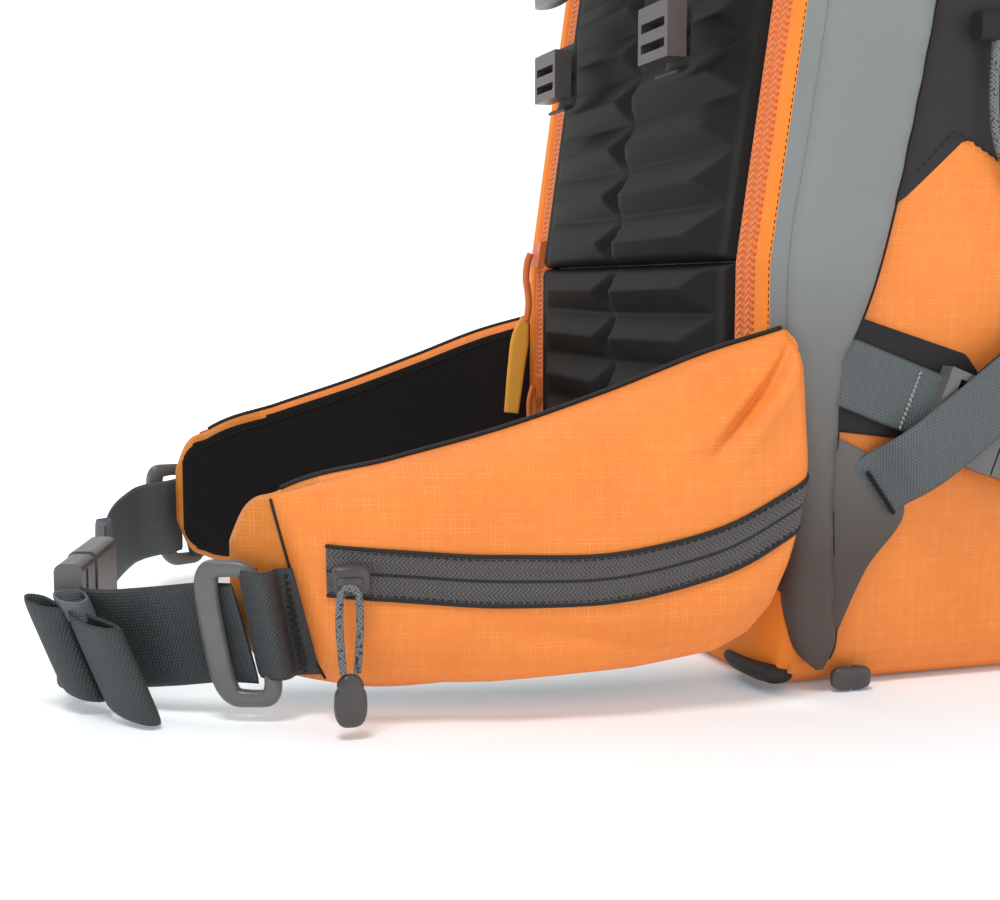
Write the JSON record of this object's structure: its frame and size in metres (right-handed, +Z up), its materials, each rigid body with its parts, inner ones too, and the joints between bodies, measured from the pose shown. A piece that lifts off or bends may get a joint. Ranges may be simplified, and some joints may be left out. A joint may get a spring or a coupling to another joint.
{
  "type": "daypack",
  "caption": "Daypack with a zipped back-access door, moulded back pads, shoulder straps and a buckled hip belt with zipped side pockets.",
  "frame": {"origin": "on the ground under the middle of the pack and belt together", "axes": "+Z up, +Y towards the wearer's waist, -X to the wearer's left"},
  "size_m": [0.3356, 0.5244, 0.504],
  "materials": {
    "shell_orange": "ripstop",
    "shell_charcoal": "matt weave",
    "band_slate": "soft satin",
    "pad_black": "moulded foam",
    "lining": "smooth",
    "webbing_grey": "ribbed webbing",
    "webbing_black": "webbing",
    "patch_black": "matt",
    "zip_dark": "zip tape",
    "zip_orange": "zip coil",
    "hardware_grey": "satin",
    "hardware_dark": "satin",
    "pull_orange": "satin",
    "cord_grey": "braided",
    "sheet_white": "smooth",
    "bag_mesh_black": "mesh"
  },
  "bodies": {
    "pack": {"side_panels": "shell_orange", "upper_side_panels": "shell_charcoal", "front_panel": "shell_orange", "base_panel": "shell_orange", "top_panel": "shell_orange", "rear_zip_frame": "zip_orange", "frame_bands": "band_slate", "front_pocket": "shell_charcoal", "front_zip": "zip_dark", "strap_patches": "patch_black", "side_webbing": "webbing_grey", "side_buckles": "hardware_grey", "gussets": "band_slate", "gusset_webbing": "webbing_grey", "gusset_adjusters": "hardware_grey", "anchor_tabs": "webbing_black", "rain_cover_toggle": "hardware_dark", "left_bungee": "cord_grey", "right_bungee": "cord_grey", "bungee_guides": "webbing_black", "left_clip_webbing": "webbing_grey", "right_clip_webbing": "webbing_grey", "left_wing": "pad_black", "right_wing": "pad_black", "hip_pockets": "shell_orange", "hip_zips": "zip_dark", "wing_webbing": "webbing_grey", "tri_glides": "hardware_grey", "left_belt_webbing": "webbing_grey", "right_belt_webbing": "webbing_grey", "hip_buckle_socket": "hardware_grey"},
    "back_door": {"door_panel": "lining", "frame_sheet": "sheet_white", "lumbar_pad": "pad_black", "upper_back_pad": "pad_black", "back_zip": "zip_orange", "shoulder_straps": "bag_mesh_black", "ladder_locks": "hardware_grey", "strap_webbing": "webbing_grey", "left_sternum_webbing": "webbing_grey", "right_sternum_webbing": "webbing_grey", "sternum_socket": "hardware_grey"},
    "belt_plug": {"hip_buckle_plug": "hardware_grey", "left_belt_tail": "webbing_grey"},
    "left_pocket_slider": {"left_hip_slider": "hardware_dark"},
    "left_pocket_pull": {"left_hip_pull_cord": "cord_grey", "left_hip_pull_end": "hardware_dark"},
    "right_pocket_slider": {"right_hip_slider": "hardware_dark"},
    "right_pocket_pull": {"right_hip_pull_cord": "cord_grey", "right_hip_pull_end": "hardware_dark"},
    "upper_door_slider": {"upper_back_slider": "pull_orange"},
    "upper_door_pull": {"upper_back_pull": "pull_orange"},
    "lower_door_slider": {"lower_back_slider": "pull_orange"},
    "lower_door_pull": {"lower_back_pull": "pull_orange"},
    "front_pocket_slider": {"front_slider": "hardware_dark"},
    "front_pocket_pull": {"front_pull": "hardware_dark"},
    "left_clip": {"left_side_clip": "hardware_grey"},
    "right_clip": {"right_side_clip": "hardware_grey"},
    "handle": {"haul_handle": "webbing_black"},
    "chest_plug": {"sternum_plug": "hardware_grey"}
  },
  "joints": [
    {"name": "door_opens", "type": "hinge", "parent": "pack", "child": "back_door", "pos_m": [0, -0.0413, 0.4535], "axis": [1, 0, 0], "range_deg": [0, 100]},
    {"name": "belt_buckle_release", "type": "slide", "parent": "pack", "child": "belt_plug", "axis": [-0.9703, 0.2419, 0], "range_m": [0, 0.03], "deforming": ["left_belt_webbing"]},
    {"name": "left_pocket_unzips", "type": "hinge", "parent": "pack", "child": "left_pocket_slider", "pos_m": [0.2255, 0.035, 0.052], "axis": [0, 0, 1], "range_deg": [0, 15]},
    {"name": "left_pocket_pull_swings", "type": "hinge", "parent": "left_pocket_slider", "child": "left_pocket_pull", "pos_m": [-0.15573, 0.16, 0.0498], "axis": [0.3116, 0.9502, 0], "range_deg": [0, 80]},
    {"name": "right_pocket_unzips", "type": "hinge", "parent": "pack", "child": "right_pocket_slider", "pos_m": [-0.2255, 0.035, 0.052], "axis": [0, 0, -1], "range_deg": [0, 15]},
    {"name": "right_pocket_pull_swings", "type": "hinge", "parent": "right_pocket_slider", "child": "right_pocket_pull", "pos_m": [0.15573, 0.16, 0.0498], "axis": [0.3116, -0.9502, 0], "range_deg": [0, 80]},
    {"name": "upper_door_slider_runs", "type": "slide", "parent": "back_door", "child": "upper_door_slider", "axis": [0, -0.1387, 0.9903], "range_m": [0, 0.25]},
    {"name": "upper_door_pull_swings", "type": "hinge", "parent": "upper_door_slider", "child": "upper_door_pull", "pos_m": [0.12, 0.0102, 0.165], "axis": [1, 0, 0], "range_deg": [0, 80]},
    {"name": "lower_door_slider_runs", "type": "slide", "parent": "back_door", "child": "lower_door_slider", "axis": [0, 0, -1], "range_m": [-0.05, 0.028]},
    {"name": "lower_door_pull_swings", "type": "hinge", "parent": "lower_door_slider", "child": "lower_door_pull", "pos_m": [0.1159, 0.0101, 0.0972], "axis": [1, 0, 0], "range_deg": [0, 80]},
    {"name": "front_pocket_unzips", "type": "slide", "parent": "pack", "child": "front_pocket_slider", "axis": [1, 0, 0], "range_m": [0, 0.168]},
    {"name": "front_pocket_pull_swings", "type": "hinge", "parent": "front_pocket_slider", "child": "front_pocket_pull", "pos_m": [-0.084, -0.259, 0.1832], "axis": [-1, 0, 0], "range_deg": [0, 80]},
    {"name": "left_clip_release", "type": "slide", "parent": "pack", "child": "left_clip", "axis": [0, -0.9336, -0.3584], "range_m": [0, 0.02], "deforming": ["left_clip_webbing"]},
    {"name": "right_clip_release", "type": "slide", "parent": "pack", "child": "right_clip", "axis": [0, -0.9336, -0.3584], "range_m": [0, 0.02], "deforming": ["right_clip_webbing"]},
    {"name": "handle_swings", "type": "hinge", "parent": "pack", "child": "handle", "pos_m": [0, -0.05582, 0.478], "axis": [1, 0, 0], "range_deg": [-60, 60]},
    {"name": "chest_buckle_release", "type": "slide", "parent": "back_door", "child": "chest_plug", "axis": [1, 0, 0], "range_m": [0, 0.02], "deforming": ["right_sternum_webbing"]}
  ]
}
